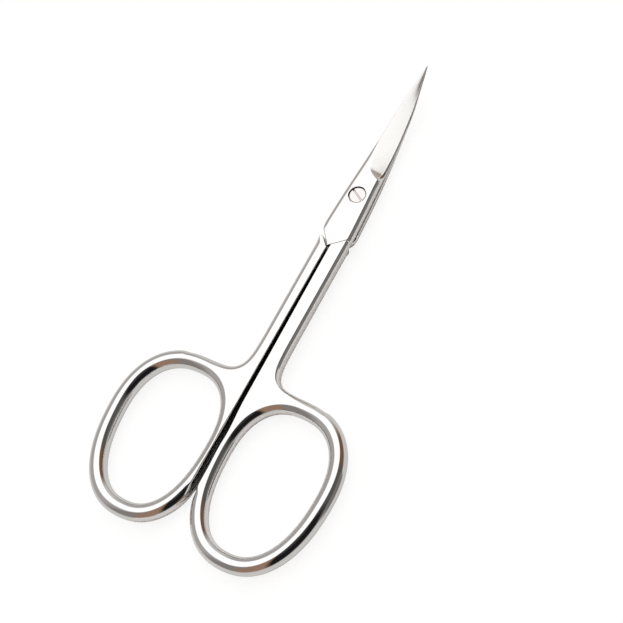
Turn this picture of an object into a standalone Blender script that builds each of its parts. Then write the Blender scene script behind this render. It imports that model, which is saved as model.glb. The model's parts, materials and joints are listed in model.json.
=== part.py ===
# Curved cuticle scissors: two forged halves that lap at a slotted pivot screw.
# X runs across the scissors, Y towards the tips, Z up through the screw.
# The scissors lie closed on their lower face, centred on the origin.
import math

import bmesh
import bpy
import numpy as np
from mathutils import Matrix, Vector

MM = 0.001

# Forged stock
STOCK_THICKNESS = 3.4 * MM      # shanks, all through
RING_THICKNESS = 3.34 * MM
LAP_GAP = 0.3 * MM              # running gap between the two lapped plates
PAD_RISE = 0.06 * MM            # how far the ground joint pad stands above the shank

# Finger rings, placed from the pivot
HOLE_WIDTH = 16.3 * MM
HOLE_LENGTH = 23.7 * MM
HOLE_SIDE = 2.15 * MM           # from the long axis to the near side of the hole
HOLE_DISTANCE = 50.45 * MM      # from the pivot back to the middle of the hole
HOLE_SQUARENESS_SHARE = 2.4     # 2 is an ellipse, more is squarer
HOLE_EGG_SHARE = 0.085          # the hole is wider towards the pivot
RING_WIDTH = 2.98 * MM          # width of the ring's bar, seen from above

# Shanks
SHANK_REACH = 2.68 * MM         # from the long axis to a shank's outer side
HALF_GAP_AT_JOINT = 0.2 * MM    # from the long axis to a shank's inner side
HALF_GAP_AT_RING = 0.38 * MM
EDGE_ROUND = 0.42 * MM
RING_SETBACK = 0.05 * MM        # how far a ring stays behind its shank at the slit
WEB_END = 0.75 * MM             # width of the web's lower end, beside the slit
NECK_RADIUS = 3.2 * MM          # fillet between a shank and its ring
FOOT_SETBACK = 0.15 * MM        # how far a neck's foot stays inside the ring's outline

# Lapped plates and the V that ends them
PLATE_REACH = 2.75 * MM         # from the long axis to a plate's widest corner
EDGE_REACH = 2.5 * MM          # the same on the side that carries on from its shank
TONGUE_REACH = 2.35 * MM        # from the long axis to the shank's side inside the plate
TONGUE_END = 8.1 * MM           # from the pivot back to the shank's end inside the plate
PAD_POINT = 10.4 * MM           # from the pivot back to the V's point
PAD_CORNER = 7.3 * MM           # from the pivot back to the V's upper corner
PAD_CORNER_ROUND = 0.3 * MM
V_SLOPE_SHARE = 1.05            # fall of the V for each unit across
SHOULDER_GAP = 0.45 * MM        # slot between a plate's V and the other half's shoulder
SHOULDER_ROUND = 0.75 * MM      # how much of the shoulder's outer corner is rounded away

# Blades
BLADE_REACH = 26.8 * MM         # from the pivot to the tips
TIP_WIDTH = 0.16 * MM
TAPER_SHARE = 0.6               # steady taper of a blade from its corner to its tip
TIP_CURVE_POWER_SHARE = 6       # how late the outline turns in to the tip
TIP_THICKNESS = 0.36 * MM
CURVE_START = 1.6 * MM          # where the blades leave the plane of the joint
TIP_RISE = 2.55 * MM            # how far the tips curve up out of that plane
SPINE_CHAMFER = 0.3 * MM

# Hollow grinding of the blades' outer faces
GRIND_RADIUS = 6 * MM
GRIND_START = 7.6 * MM          # from the pivot to the middle of the grind's round end
LAND_WIDTH = 1.05 * MM          # flat left beside the spine
EDGE_THICKNESS = 0.1 * MM       # steel left at the cutting edge

# Pivot screw and its holes
HEAD_RADIUS = 1.48 * MM
HEAD_HEIGHT = 0.75 * MM
HEAD_DOME = 0.1 * MM
HEAD_RECESS = 0.15 * MM         # how far the head lies below the pad
SCREW_RADIUS = 0.9 * MM
RUNNING_CLEARANCE = 0.1 * MM
SLOT_WIDTH = 0.3 * MM
SLOT_DEPTH = 0.35 * MM
SLOT_ANGLE = math.radians(-32)

# Cuts run this far past the solids that they cut
OVERRUN = 1.5 * MM

RING_STEPS = 72
PLATE_STEPS = 10
BLADE_STEPS = 30
NECK_STEPS = 10
GRIND_STEPS = 9
GRIND_CORNERS = 64

# Worked out from the sizes above
HOLE_OFFSET = HOLE_SIDE + HOLE_WIDTH / 2
HALF_STOCK = STOCK_THICKNESS / 2
PAD_TOP = HALF_STOCK + PAD_RISE
RING_BACK = HOLE_DISTANCE + HOLE_LENGTH / 2 + RING_WIDTH
PIVOT = Vector((0, (RING_BACK - BLADE_REACH) / 2, PAD_TOP))


def clear_scene():
    for old in list(bpy.data.objects):
        bpy.data.objects.remove(old, do_unlink=True)


def new_collection(name):
    collection = bpy.data.collections.new(name)
    bpy.context.scene.collection.children.link(collection)
    return collection


def steel(name, colour, roughness):
    material = bpy.data.materials.new(name)
    material.use_nodes = True
    shader = material.node_tree.nodes["Principled BSDF"]
    shader.inputs["Base Color"].default_value = (*colour, 1)
    shader.inputs["Metallic"].default_value = 1
    shader.inputs["Roughness"].default_value = roughness
    return material


def turned_over(upper):
    # The lower half is the upper half turned over about the long axis.
    return Matrix.Identity(4) if upper else Matrix.Rotation(math.pi, 4, "Y")


def object_from(name, mesh, collection, upper=True):
    mesh.transform(turned_over(upper))
    made = bpy.data.objects.new(name, mesh)
    made.location = PIVOT
    collection.objects.link(made)
    return made


def mesh_from_bmesh(name, shape):
    bmesh.ops.recalc_face_normals(shape, faces=shape.faces)
    mesh = bpy.data.meshes.new(name)
    shape.to_mesh(mesh)
    shape.free()
    return mesh


def mesh_from_curve(curve, scale=(1, 1, 1)):
    # A curve's mesh, with its loose caps welded on and its scale applied.
    guide = bpy.data.objects.new("guide", curve)
    bpy.context.scene.collection.objects.link(guide)
    graph = bpy.context.evaluated_depsgraph_get()
    mesh = bpy.data.meshes.new_from_object(guide.evaluated_get(graph))
    bpy.data.objects.remove(guide, do_unlink=True)
    shape = bmesh.new()
    shape.from_mesh(mesh)
    bmesh.ops.remove_doubles(shape, verts=shape.verts, dist=0.001 * MM)
    bmesh.ops.scale(shape, vec=scale, verts=shape.verts)
    bpy.data.meshes.remove(mesh)
    return mesh_from_bmesh("from_curve", shape)


def as_cutter(made):
    made.hide_render = True
    made.display_type = "WIRE"
    return made


def add_boolean(target, other, operation):
    modifier = target.modifiers.new(f"{operation.lower()} {other.name}", "BOOLEAN")
    modifier.operation = operation
    modifier.object = other


def hole_outline(angles, grow):
    # The finger hole is a squared oval, a little wider at its pivot end.
    # Grow moves the outline outwards along its own normal.
    cos, sin = np.cos(angles), np.sin(angles)
    power = 2 / HOLE_SQUARENESS_SHARE
    across = np.sign(cos) * np.abs(cos) ** power
    along = np.sign(sin) * np.abs(sin) ** power
    x = HOLE_OFFSET + HOLE_WIDTH / 2 * across * (1 + HOLE_EGG_SHARE * along)
    y = -HOLE_DISTANCE + HOLE_LENGTH / 2 * along
    x_step = np.roll(x, -1) - np.roll(x, 1)
    y_step = np.roll(y, -1) - np.roll(y, 1)
    length = np.hypot(x_step, y_step)
    return x + grow * y_step / length, y - grow * x_step / length


def half_gap(y):
    # The slit between the shanks widens a little from the joint to the rings.
    share = (-y - PAD_POINT) / (HOLE_DISTANCE - PAD_POINT)
    share = min(max(share, 0), 1)
    return HALF_GAP_AT_JOINT + (HALF_GAP_AT_RING - HALF_GAP_AT_JOINT) * share


def ring_side(y):
    return half_gap(y) + RING_SETBACK


def ring_bar():
    # The bar of the ring, an oval tube that follows the hole.
    angles = np.linspace(0, 2 * math.pi, RING_STEPS, endpoint=False)
    x, y = hole_outline(angles, RING_WIDTH / 2)
    curve = bpy.data.curves.new("ring_bar", "CURVE")
    curve.dimensions = "3D"
    curve.bevel_depth = RING_WIDTH / 2
    curve.bevel_resolution = 6
    spline = curve.splines.new("POLY")
    spline.points.add(RING_STEPS - 1)
    for point, px, py in zip(spline.points, x, y):
        point.co = (px, py, 0, 1)
    spline.use_cyclic_u = True
    return mesh_from_curve(curve, (1, 1, RING_THICKNESS / RING_WIDTH))


def shank_outline():
    # From the slit's lower end, round the ring's crest and the neck, and up to the joint.
    # The crest's points lie between those of the ring's bar.
    quarter = RING_STEPS // 4
    angles = (np.arange(RING_STEPS) + 1 / 2) * 2 * math.pi / RING_STEPS
    crest_x, crest_y = hole_outline(angles, RING_WIDTH / 2 - EDGE_ROUND)
    first, last = 2 * quarter, quarter
    while crest_x[first] - half_gap(crest_y[first]) < WEB_END:
        first -= 1
    points = [(half_gap(crest_y[first]), crest_y[first])]
    for step in range(first, last - 1, -1):
        points.append((crest_x[step], crest_y[step]))
    foot = -RING_BACK + HOLE_LENGTH + 2 * RING_WIDTH - FOOT_SETBACK
    points.append((HOLE_OFFSET + FOOT_SETBACK, foot))
    for step in range(NECK_STEPS + 1):
        turn = math.pi / 2 * step / NECK_STEPS
        points.append((
            SHANK_REACH + NECK_RADIUS * (1 - math.sin(turn)),
            foot + NECK_RADIUS * (1 - math.cos(turn)),
        ))
    points.append((SHANK_REACH, -PAD_POINT))
    points.append((TONGUE_REACH, -TONGUE_END))
    points.append((HALF_GAP_AT_JOINT, -TONGUE_END))
    points.append((half_gap(-PAD_POINT), -PAD_POINT))
    return points


def shank():
    # A flat bar with rounded edges, flared at its foot into the ring.
    curve = bpy.data.curves.new("shank", "CURVE")
    curve.dimensions = "2D"
    curve.fill_mode = "BOTH"
    curve.extrude = HALF_STOCK - EDGE_ROUND
    curve.bevel_depth = EDGE_ROUND
    curve.bevel_resolution = 2
    curve.offset = -EDGE_ROUND
    outline = shank_outline()
    spline = curve.splines.new("POLY")
    spline.points.add(len(outline) - 1)
    for point, (x, y) in zip(spline.points, outline):
        point.co = (x, y, 0, 1)
    spline.use_cyclic_u = True
    return mesh_from_curve(curve)


def slit_cutter():
    # Everything of a ring that would reach over the slit.
    back, front = -RING_BACK - OVERRUN, -PAD_POINT
    reach = RING_WIDTH
    corners = [(-reach, back), (ring_side(back), back), (ring_side(-HOLE_DISTANCE), -HOLE_DISTANCE),
               (ring_side(front), front), (-reach, front)]
    return prism(corners, -STOCK_THICKNESS, STOCK_THICKNESS)


def prism(corners, low, high):
    shape = bmesh.new()
    base = [shape.verts.new((x, y, low)) for x, y in corners]
    face = shape.faces.new(base)
    lifted = bmesh.ops.extrude_face_region(shape, geom=[face])["geom"]
    moved = [item for item in lifted if isinstance(item, bmesh.types.BMVert)]
    bmesh.ops.translate(shape, verts=moved, vec=(0, 0, high - low))
    return mesh_from_bmesh("prism", shape)


def rise(y, bend):
    # How far the face where the blades meet has curved up at y.
    reach = max(y - CURVE_START, 0) / (BLADE_REACH - CURVE_START)
    return bend * TIP_RISE * reach**2


def blade_reach(y):
    # From the long axis to a blade's spine or edge at y.
    share = (y + PAD_CORNER) / (BLADE_REACH + PAD_CORNER)
    full = PLATE_REACH * (1 - TAPER_SHARE * share) * (1 - share**TIP_CURVE_POWER_SHARE)
    return max(full, TIP_WIDTH / 2)


def blade_thickness(y):
    share = min(max(y, 0) / BLADE_REACH, 1)
    return PAD_TOP + (TIP_THICKNESS - PAD_TOP) * share


def outer_face(y, bend):
    # Height of the blade's outer face beside its spine.
    return rise(y, bend) + blade_thickness(y)


def spine_side(y):
    # On the spine's side the plate ends in the V, with its upper corner rounded off.
    along_v = (y + PAD_POINT) / V_SLOPE_SHARE
    full = blade_reach(max(y, -PAD_CORNER))
    return (along_v + full - math.hypot(along_v - full, PAD_CORNER_ROUND)) / 2


def edge_side(y):
    # On the other side the plate carries on from its shank, then thins to the cutting edge.
    return min(blade_reach(max(y, -PAD_CORNER)), EDGE_REACH, (y + PAD_POINT) / V_SLOPE_SHARE)


def blade_section(y, bend):
    # The upper plate or blade cut across at y: spine on the left, cutting edge on the right.
    left, right = spine_side(y), edge_side(y)
    top = outer_face(y, bend)
    chamfer = min(SPINE_CHAMFER, left / 2, right / 2, blade_thickness(y) / 2)
    low = rise(y, bend) - LAP_GAP
    return [
        (-left, y, low), (right, y, low), (right, y, top - chamfer / 2),
        (right - chamfer / 2, y, top), (-left + chamfer, y, top), (-left, y, top - chamfer),
    ]


def blade_stations():
    point = -PAD_POINT + TIP_WIDTH
    plate = np.linspace(point, -PAD_CORNER, PLATE_STEPS)[:-1]
    blade = np.linspace(-PAD_CORNER, BLADE_REACH, BLADE_STEPS)
    return [*plate, *blade]


def loft(sections, name):
    # Joins closed sections, each with the same number of corners, and caps the two ends.
    shape = bmesh.new()
    rings = [[shape.verts.new(corner) for corner in section] for section in sections]
    for before, after in zip(rings, rings[1:]):
        for i in range(len(before)):
            j = (i + 1) % len(before)
            shape.faces.new((before[i], before[j], after[j], after[i]))
    shape.faces.new(rings[0])
    shape.faces.new(rings[-1])
    return mesh_from_bmesh(name, shape)


def plate_and_blade(bend):
    # Sections change from the plate's V to the blade's tip.
    return loft([blade_section(y, bend) for y in blade_stations()], "plate_and_blade")


def shoulder_line():
    # Where the shank is cut away for the other half's plate, from the slit outwards.
    drop = SHOULDER_GAP * math.hypot(1, V_SLOPE_SHARE)
    wide = PLATE_REACH + OVERRUN
    turn_x = SHANK_REACH - SHOULDER_ROUND
    turn_y = -PAD_POINT - drop + V_SLOPE_SHARE * turn_x
    return [
        (-wide, -PAD_POINT - drop - V_SLOPE_SHARE * wide),
        (turn_x, turn_y),
        (SHANK_REACH - SHOULDER_ROUND / 3, turn_y - SHOULDER_ROUND / 4),
        (SHANK_REACH, turn_y - SHOULDER_ROUND),
        (wide, turn_y - wide + SHANK_REACH - SHOULDER_ROUND),
    ]


def lap_cutter(bend):
    # The room of the other half: all that lies under the face where the two meet.
    # Its rows follow that face along the blade, and its first row is the shoulder.
    line = shoulder_line()
    floor = -PAD_TOP - TIP_RISE - OVERRUN
    front = BLADE_REACH + OVERRUN
    joint = CURVE_START
    rows = [[(x, y) for x, y in line]]
    for y in np.linspace(joint, front, BLADE_STEPS):
        rows.append([(x, y) for x, _ in line])
    shape = bmesh.new()
    tops = [[shape.verts.new((x, y, rise(y, bend) + LAP_GAP / 2)) for x, y in row] for row in rows]
    feet = [[shape.verts.new((x, y, floor)) for x, y in row] for row in rows]
    for grid, flip in ((tops, False), (feet, True)):
        for before, after in zip(grid, grid[1:]):
            for i in range(len(line) - 1):
                corners = (before[i], before[i + 1], after[i + 1], after[i])
                shape.faces.new(corners[::-1] if flip else corners)
    for i in range(len(line) - 1):
        shape.faces.new((feet[0][i], feet[0][i + 1], tops[0][i + 1], tops[0][i]))
        shape.faces.new((tops[-1][i], tops[-1][i + 1], feet[-1][i + 1], feet[-1][i]))
    for i in range(len(rows) - 1):
        shape.faces.new((tops[i][0], tops[i + 1][0], feet[i + 1][0], feet[i][0]))
        shape.faces.new((feet[i][-1], feet[i + 1][-1], tops[i + 1][-1], tops[i][-1]))
    return mesh_from_bmesh("lap_cutter", shape)


def grind_centre(y, bend):
    # Middle of the grinding cut at y, so that it leaves the land and the cutting edge.
    ridge_x = min(-blade_reach(y) + LAND_WIDTH, blade_reach(y) / 2)
    ridge_z = outer_face(y, bend)
    edge_x = blade_reach(y)
    edge_z = rise(y, bend) + LAP_GAP / 2 + EDGE_THICKNESS
    across, fall = edge_x - ridge_x, ridge_z - edge_z
    chord = math.hypot(across, fall)
    lift = math.sqrt(GRIND_RADIUS**2 - (chord / 2) ** 2)
    return (
        (ridge_x + edge_x) / 2 + lift * fall / chord,
        y,
        (ridge_z + edge_z) / 2 + lift * across / chord,
    )


def grind_cutter(bend):
    # A round-ended bar that follows the blade and hollows its outer face.
    first = grind_centre(GRIND_START, bend)
    sections = []
    for step in range(1, GRIND_STEPS + 1):
        turn = math.pi / 2 * step / (GRIND_STEPS + 1)
        middle = (first[0], GRIND_START - GRIND_RADIUS * math.cos(turn), first[2])
        sections.append(circle(middle, GRIND_RADIUS * math.sin(turn)))
    for y in np.linspace(GRIND_START, BLADE_REACH, BLADE_STEPS):
        sections.append(circle(grind_centre(y, bend), GRIND_RADIUS))
    end = grind_centre(BLADE_REACH, bend)
    sections.append(circle((end[0], end[1] + OVERRUN, end[2]), GRIND_RADIUS))
    return loft(sections, "grind")


def circle(middle, radius):
    # Corners of a circle across the blade.
    turns = (np.arange(GRIND_CORNERS) + 1 / 4) * 2 * math.pi / GRIND_CORNERS
    return [(middle[0] + radius * math.cos(t), middle[1], middle[2] + radius * math.sin(t)) for t in turns]


def turned(name, profile, collection, upper=True):
    # A profile of (radius, height), outer side from top to bottom, turned about the pivot.
    shape = bmesh.new()
    points = [shape.verts.new((radius, 0, height)) for radius, height in profile]
    for before, after in zip(points, points[1:]):
        shape.edges.new((before, after))
    mesh = bpy.data.meshes.new(name)
    shape.to_mesh(mesh)
    shape.free()
    made = bpy.data.objects.new(name, mesh)
    made.location = PIVOT
    made.rotation_euler = turned_over(upper).to_euler()
    collection.objects.link(made)
    screw = made.modifiers.new("turn", "SCREW")
    screw.steps = screw.render_steps = 48
    screw.use_merge_vertices = True
    screw.merge_threshold = 0.000001
    return made


def screw_hole(name, collection, upper):
    # A clearance hole, and in the upper half also the seat for the head.
    radius = SCREW_RADIUS + RUNNING_CLEARANCE
    seat_radius = HEAD_RADIUS + RUNNING_CLEARANCE
    seat = PAD_TOP - HEAD_RECESS - HEAD_HEIGHT - RUNNING_CLEARANCE
    high, low = PAD_TOP + OVERRUN, -LAP_GAP - OVERRUN
    if upper:
        profile = [(0, high), (seat_radius, high), (seat_radius, seat), (radius, seat), (radius, low), (0, low)]
    else:
        profile = [(0, high), (radius, high), (radius, low), (0, low)]
    return as_cutter(turned(name, profile, collection, upper))


def pivot_screw(collection, cutters):
    top = PAD_TOP - HEAD_RECESS
    seat = top - HEAD_HEIGHT
    end = -PAD_TOP
    rim = HEAD_RADIUS - HEAD_DOME
    profile = [
        (0, top), (HEAD_RADIUS / 2, top - HEAD_DOME / 4), (rim, top - HEAD_DOME),
        (HEAD_RADIUS, top - 2 * HEAD_DOME), (HEAD_RADIUS, seat), (SCREW_RADIUS, seat),
        (SCREW_RADIUS, end + HEAD_DOME), (SCREW_RADIUS - HEAD_DOME, end), (0, end),
    ]
    made = turned("pivot_screw", profile, collection)
    half_slot, length = SLOT_WIDTH / 2, HEAD_RADIUS + OVERRUN
    corners = [(-length, -half_slot), (length, -half_slot), (length, half_slot), (-length, half_slot)]
    slot_mesh = prism(corners, top - SLOT_DEPTH, top + OVERRUN)
    slot_mesh.transform(Matrix.Rotation(SLOT_ANGLE, 4, "Z"))
    slot = as_cutter(object_from("screw_slot_cutter", slot_mesh, cutters))
    add_boolean(made, slot, "DIFFERENCE")
    return made


def scissor_half(name, upper, parts, cutters, material):
    # Shank, ring, plate and blade of one half, joined and then cut.
    bend = 1 if upper else -1
    made = object_from(name, shank(), parts, upper)
    ring = as_cutter(object_from(f"{name}_ring", ring_bar(), cutters, upper))
    slit = as_cutter(object_from(f"{name}_slit", slit_cutter(), cutters, upper))
    add_boolean(ring, slit, "DIFFERENCE")
    add_boolean(made, ring, "UNION")
    shapes = (
        ("plate_and_blade", plate_and_blade(bend), "UNION"),
        ("lap", lap_cutter(bend), "DIFFERENCE"),
        ("grind", grind_cutter(bend), "DIFFERENCE"),
    )
    for shape, mesh, operation in shapes:
        other = as_cutter(object_from(f"{name}_{shape}", mesh, cutters, upper))
        add_boolean(made, other, operation)
    add_boolean(made, screw_hole(f"{name}_screw_hole", cutters, upper), "DIFFERENCE")
    made.data.materials.append(material)
    return made


def main():
    clear_scene()
    parts = new_collection("cuticle_scissors")
    cutters = new_collection("cutters")
    upper = steel("polished_steel_upper", (0.78, 0.77, 0.76), 0.12)
    lower = steel("polished_steel_lower", (0.76, 0.75, 0.74), 0.14)
    plated = steel("plated_screw_steel", (0.8, 0.77, 0.76), 0.2)
    scissor_half("upper_half", True, parts, cutters, upper)
    scissor_half("lower_half", False, parts, cutters, lower)
    pivot_screw(parts, cutters).data.materials.append(plated)
    for made in parts.objects:
        made.data.shade_smooth()
        made.data.set_sharp_from_angle(angle=math.radians(30))


main()
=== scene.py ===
import json
import math

import bmesh
import bpy
import numpy as np
from mathutils import Matrix, Vector
from mathutils.geometry import delaunay_2d_cdt


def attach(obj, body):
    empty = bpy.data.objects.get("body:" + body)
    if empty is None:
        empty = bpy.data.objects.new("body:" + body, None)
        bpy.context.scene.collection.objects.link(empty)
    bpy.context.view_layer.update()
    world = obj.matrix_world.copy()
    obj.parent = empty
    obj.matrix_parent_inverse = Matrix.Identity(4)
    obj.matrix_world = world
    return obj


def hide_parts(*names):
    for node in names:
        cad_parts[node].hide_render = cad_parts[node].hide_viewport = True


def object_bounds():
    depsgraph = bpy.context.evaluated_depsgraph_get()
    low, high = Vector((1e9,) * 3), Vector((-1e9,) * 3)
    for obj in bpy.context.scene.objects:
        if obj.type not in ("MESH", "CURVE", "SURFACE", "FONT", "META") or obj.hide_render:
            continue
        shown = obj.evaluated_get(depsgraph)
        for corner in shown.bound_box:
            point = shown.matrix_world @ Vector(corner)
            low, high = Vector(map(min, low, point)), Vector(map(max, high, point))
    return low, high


# Everything is worked out in millimetres from the pivot, for the upper half: X across to its ring,
# Y to the tips, Z up. The lower half is the same shape turned over about the long axis.
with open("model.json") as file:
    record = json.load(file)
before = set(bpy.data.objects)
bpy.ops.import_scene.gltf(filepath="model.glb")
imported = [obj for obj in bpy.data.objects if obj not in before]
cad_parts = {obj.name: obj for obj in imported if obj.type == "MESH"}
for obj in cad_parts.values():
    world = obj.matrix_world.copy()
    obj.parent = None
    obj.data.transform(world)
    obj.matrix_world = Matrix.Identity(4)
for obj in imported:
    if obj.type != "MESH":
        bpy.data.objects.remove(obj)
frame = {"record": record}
cadBox = [list(corner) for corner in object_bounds()]
pivot = np.array(frame["record"]["behaviour"]["joints"][0]["pos_m"])
mm = 0.001
print("frame loaded, pivot at", pivot)


def smoothStep(value, low, high):
    t = np.clip((value - low) / (high - low), 0, 1)
    return t * t * (3 - 2 * t)


def softMax(a, b, width):
    # the larger of the two, with the corner between them rounded over width
    return (a + b + np.sqrt((a - b) ** 2 + width**2)) / 2


def softMin(a, b, width):
    return (a + b - np.sqrt((a - b) ** 2 + width**2)) / 2


def lengthsAlong(points, closed=False):
    steps = np.diff(np.vstack([points, points[:1]]) if closed else points, axis=0)
    return np.concatenate([[0], np.cumsum(np.linalg.norm(steps, axis=1))])


def resampled(points, spacing, closed=False):
    # the same path with its points evenly spaced
    at = lengthsAlong(points, closed)
    full = np.vstack([points, points[:1]]) if closed else points
    count = max(int(round(at[-1] / spacing)), 2)
    wanted = np.linspace(0, at[-1], count + 1)[: count if closed else count + 1]
    return np.stack([np.interp(wanted, at, full[:, k]) for k in range(full.shape[1])], axis=1)


def relaxed(values, spacing, width, closed=True):
    # a Gaussian average along the path, width in millimetres
    reach = max(int(3 * width / spacing), 1)
    offsets = np.arange(-reach, reach + 1)
    weights = np.exp(-((offsets * spacing / width) ** 2) / 2)
    weights /= weights.sum()
    mode = "wrap" if closed else "edge"
    padded = np.pad(values, [(reach, reach)] + [(0, 0)] * (values.ndim - 1), mode=mode)
    rows = [np.convolve(column, weights, "valid") for column in padded.reshape(len(padded), -1).T]
    return np.stack(rows, axis=1).reshape(values.shape)


def leftNormals(points, closed=True):
    # unit vectors to the left of the path
    if closed:
        steps = np.roll(points, -1, 0) - np.roll(points, 1, 0)
    else:
        steps = np.gradient(points, axis=0)
    steps /= np.linalg.norm(steps, axis=1, keepdims=True)
    return np.stack([-steps[:, 1], steps[:, 0]], axis=1)


def gridFaces(rows, columns, wrapColumns=False, flip=False):
    # quads of a grid whose vertices are numbered row by row
    r = np.arange(rows - 1)[:, None]
    c = np.arange(columns if wrapColumns else columns - 1)[None, :]
    c2 = (c + 1) % columns
    above = (r + 1) * columns
    quads = np.stack([r * columns + c, r * columns + c2, above + c2, above + c], axis=-1).reshape(-1, 4)
    return quads[:, ::-1] if flip else quads


def insideLoops(points, loops):
    # even-odd test of points against closed loops
    crossings = np.zeros(len(points), int)
    for loop in loops:
        a, b = loop, np.roll(loop, -1, 0)
        for start in range(0, len(points), 4000):
            part = points[start : start + 4000]
            py = part[:, 1][:, None]
            between = (a[:, 1] > py) != (b[:, 1] > py)
            rise = np.where(np.abs(b[:, 1] - a[:, 1]) < 1e-12, 1e-12, b[:, 1] - a[:, 1])
            crossX = a[:, 0] + (py - a[:, 1]) / rise * (b[:, 0] - a[:, 0])
            crossings[start : start + 4000] += (between & (part[:, 0][:, None] < crossX)).sum(1)
    return crossings % 2 == 1


def flatFill(loops):
    # triangles, counter-clockwise, that fill the outer loop and leave the others open
    points = np.vstack(loops)
    edges, start = [], 0
    for loop in loops:
        index = np.arange(len(loop))
        edges += np.stack([start + index, start + (index + 1) % len(loop)], axis=1).tolist()
        start += len(loop)
    result = delaunay_2d_cdt([Vector(p) for p in points], edges, [], 0, 1e-7)
    triangles = np.array([face for face in result[2] if len(face) == 3])
    source = np.array([origin[0] for origin in result[3]])
    triangles = source[triangles]
    middle = points[triangles].mean(1)
    triangles = triangles[insideLoops(middle, loops)]
    a, b, c = points[triangles[:, 0]], points[triangles[:, 1]], points[triangles[:, 2]]
    turn = (b[:, 0] - a[:, 0]) * (c[:, 1] - a[:, 1]) - (b[:, 1] - a[:, 1]) * (c[:, 0] - a[:, 0])
    triangles = triangles[np.abs(turn) > 1e-12]
    turn = turn[np.abs(turn) > 1e-12]
    triangles[turn < 0] = triangles[turn < 0][:, ::-1]
    return triangles


class Shell:
    # vertices, faces and corner normals gathered for one mesh

    def __init__(self):
        self.points, self.faces, self.normals, self.count = [], [], [], 0

    def add(self, points):
        self.points.append(points.reshape(-1, 3))
        first = self.count
        self.count += len(self.points[-1])
        return first

    def face(self, faces, normals):
        # normals: one for each corner of each face, or a single one for them all
        faces = np.asarray(faces)
        self.faces.append(faces)
        self.normals.append(np.broadcast_to(normals, (*faces.shape, 3)).reshape(-1, 3))

    def mesh(self, name, turnedOver=False):
        points = np.vstack(self.points)
        normals = np.vstack(self.normals)
        if turnedOver:
            points = points * [-1, 1, -1]
            normals = normals * [-1, 1, -1]
        made = bpy.data.meshes.new(name)
        faces = [face for group in self.faces for face in group.tolist()]
        made.from_pydata((points * mm + pivot).tolist(), [], faces)
        made.polygons.foreach_set("use_smooth", np.ones(len(faces), bool))
        made.update()
        made.normals_split_custom_set(normals.tolist())
        return made


ring = {
    "middle": (10.31, -50.44),      # of the finger hole
    "halfWidth": 8.135,
    "halfLength": 11.86,
    "squareness": 2.39,             # 2 is an ellipse
    "egg": 0.085,                   # wider towards the joint
    "lean": -0.017,
    "shear": -0.025,
    "bar": 2.955,
    "innerRound": 1.49,             # from the hole's edge to the bar's crest
    "crest": 0.012,                 # flat left along the crest
    "ease": 0.25,                   # smoothed over this length, as by every ease below
}
creaseSteps = 6                     # rows in a wall's rounded top edge
shank = {
    "halfStock": 1.67,
    "reach": 2.82,
    "gapAtJoint": 0.15,         # half the slit, which widens over gapWidens down the shank
    "gapAtRing": 0.35,
    "gapWidens": (12, 48),
    "gapMeets": 0.3,            # softness where the ring's outline runs into the slit
    "slitTop": -10.5,
    "straight": (-28.0, -10.6),     # the outer side, between the neck and the joint
    "neckJoins": (13.6, -45),   # the ring's outline ends at its last point beyond this, right and up
    "outerEdge": 0.46,          # how far the wall leans in up to the outer face's crisp edge
    "wallPower": 3.4,
    "crease": 0.09,             # how far back from the corner the crisp edge's rounding starts
    "innerEdge": 1.3,           # rounding of the inner face's edge
    "shoulderEdge": 0.32,
    "gapCrisp": 0.1,            # rounding of the slit's edge on the outer face
    "gapRound": 0.28,           # and on the inner one
    "gapOnRing": 0.38,          # and on the ring, over gapOnRingFrom
    "gapOnRingFrom": (40, 46),
    "slitSide": (0.9, -56),     # the slit's side is left of and above this
    "ringBelow": -40,
    "neckAcross": (4.0, 13.5),  # where the ring's half oval takes over from the shank's edge
    "neckDown": (33, 35.2),
    "facingUp": (-10.7, -10.3),     # where the shoulder faces the other half's plate
    "facingAcross": (1.8, 2.7),
    "edgeRows": 26,
    "easeOutline": 0.45,
    "easeEnds": 2,              # the outline's ends stay put over this length
    "easeTongue": 0.2,
    "easeShoulder": 0.12,
    "easeWidths": 0.4,
    "easeRoundness": 0.5,
    "spacing": 0.17,
}
# outer side of the neck, from the ring to the shank
neckPath = np.array([
    (13.5, -36.22), (12.3, -35.95), (11.0, -35.80), (9.6, -35.77), (8.2, -35.78), (6.9, -35.75),
    (5.8, -35.66), (4.9, -35.42), (4.22, -35.02), (3.70, -34.50), (3.35, -33.90), (3.13, -33.2),
    (2.98, -32.4), (2.89, -31.4), (2.84, -30.2), (2.82, -28.6),
])
# the shank's end inside its own plate, from the outer side to the slit
tonguePath = np.array([
    (2.82, -10.6), (2.82, -9.4), (2.82, -8.6), (2.8, -8.0), (2.68, -7.3), (2.35, -6.7),
    (1.8, -6.35), (1.2, -6.4), (0.7, -6.8), (0.36, -7.6), (0.24, -8.4), (0.21, -9.2),
])
# the shoulder that faces the other half's plate, from the outer side to the slit
shoulderPath = np.array([
    (2.82, -10.6), (2.82, -9.7), (2.76, -9.2), (2.58, -8.85), (2.3, -8.72), (1.9, -8.8),
    (1.5, -9.07), (1.0, -9.63), (0.42, -10.30), (0.27, -10.46),
])


def holePath(spacing):
    # squared oval: x and y are signed powers of cosine and sine, then egged, sheared and leaned
    t = np.linspace(0, 2 * np.pi, 6001)[:-1]
    power = 2 / ring["squareness"]
    u = np.sign(np.cos(t)) * np.abs(np.cos(t)) ** power
    v = np.sign(np.sin(t)) * np.abs(np.sin(t)) ** power
    x = ring["halfWidth"] * (u * (1 + ring["egg"] * v) + ring["shear"] * v**2)
    y = ring["halfLength"] * v
    c, s = np.cos(ring["lean"]), np.sin(ring["lean"])
    points = np.stack([ring["middle"][0] + c * x - s * y, ring["middle"][1] + s * x + c * y], axis=1)
    points = resampled(points, spacing, True)
    return relaxed(points, spacing, ring["ease"])


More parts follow.
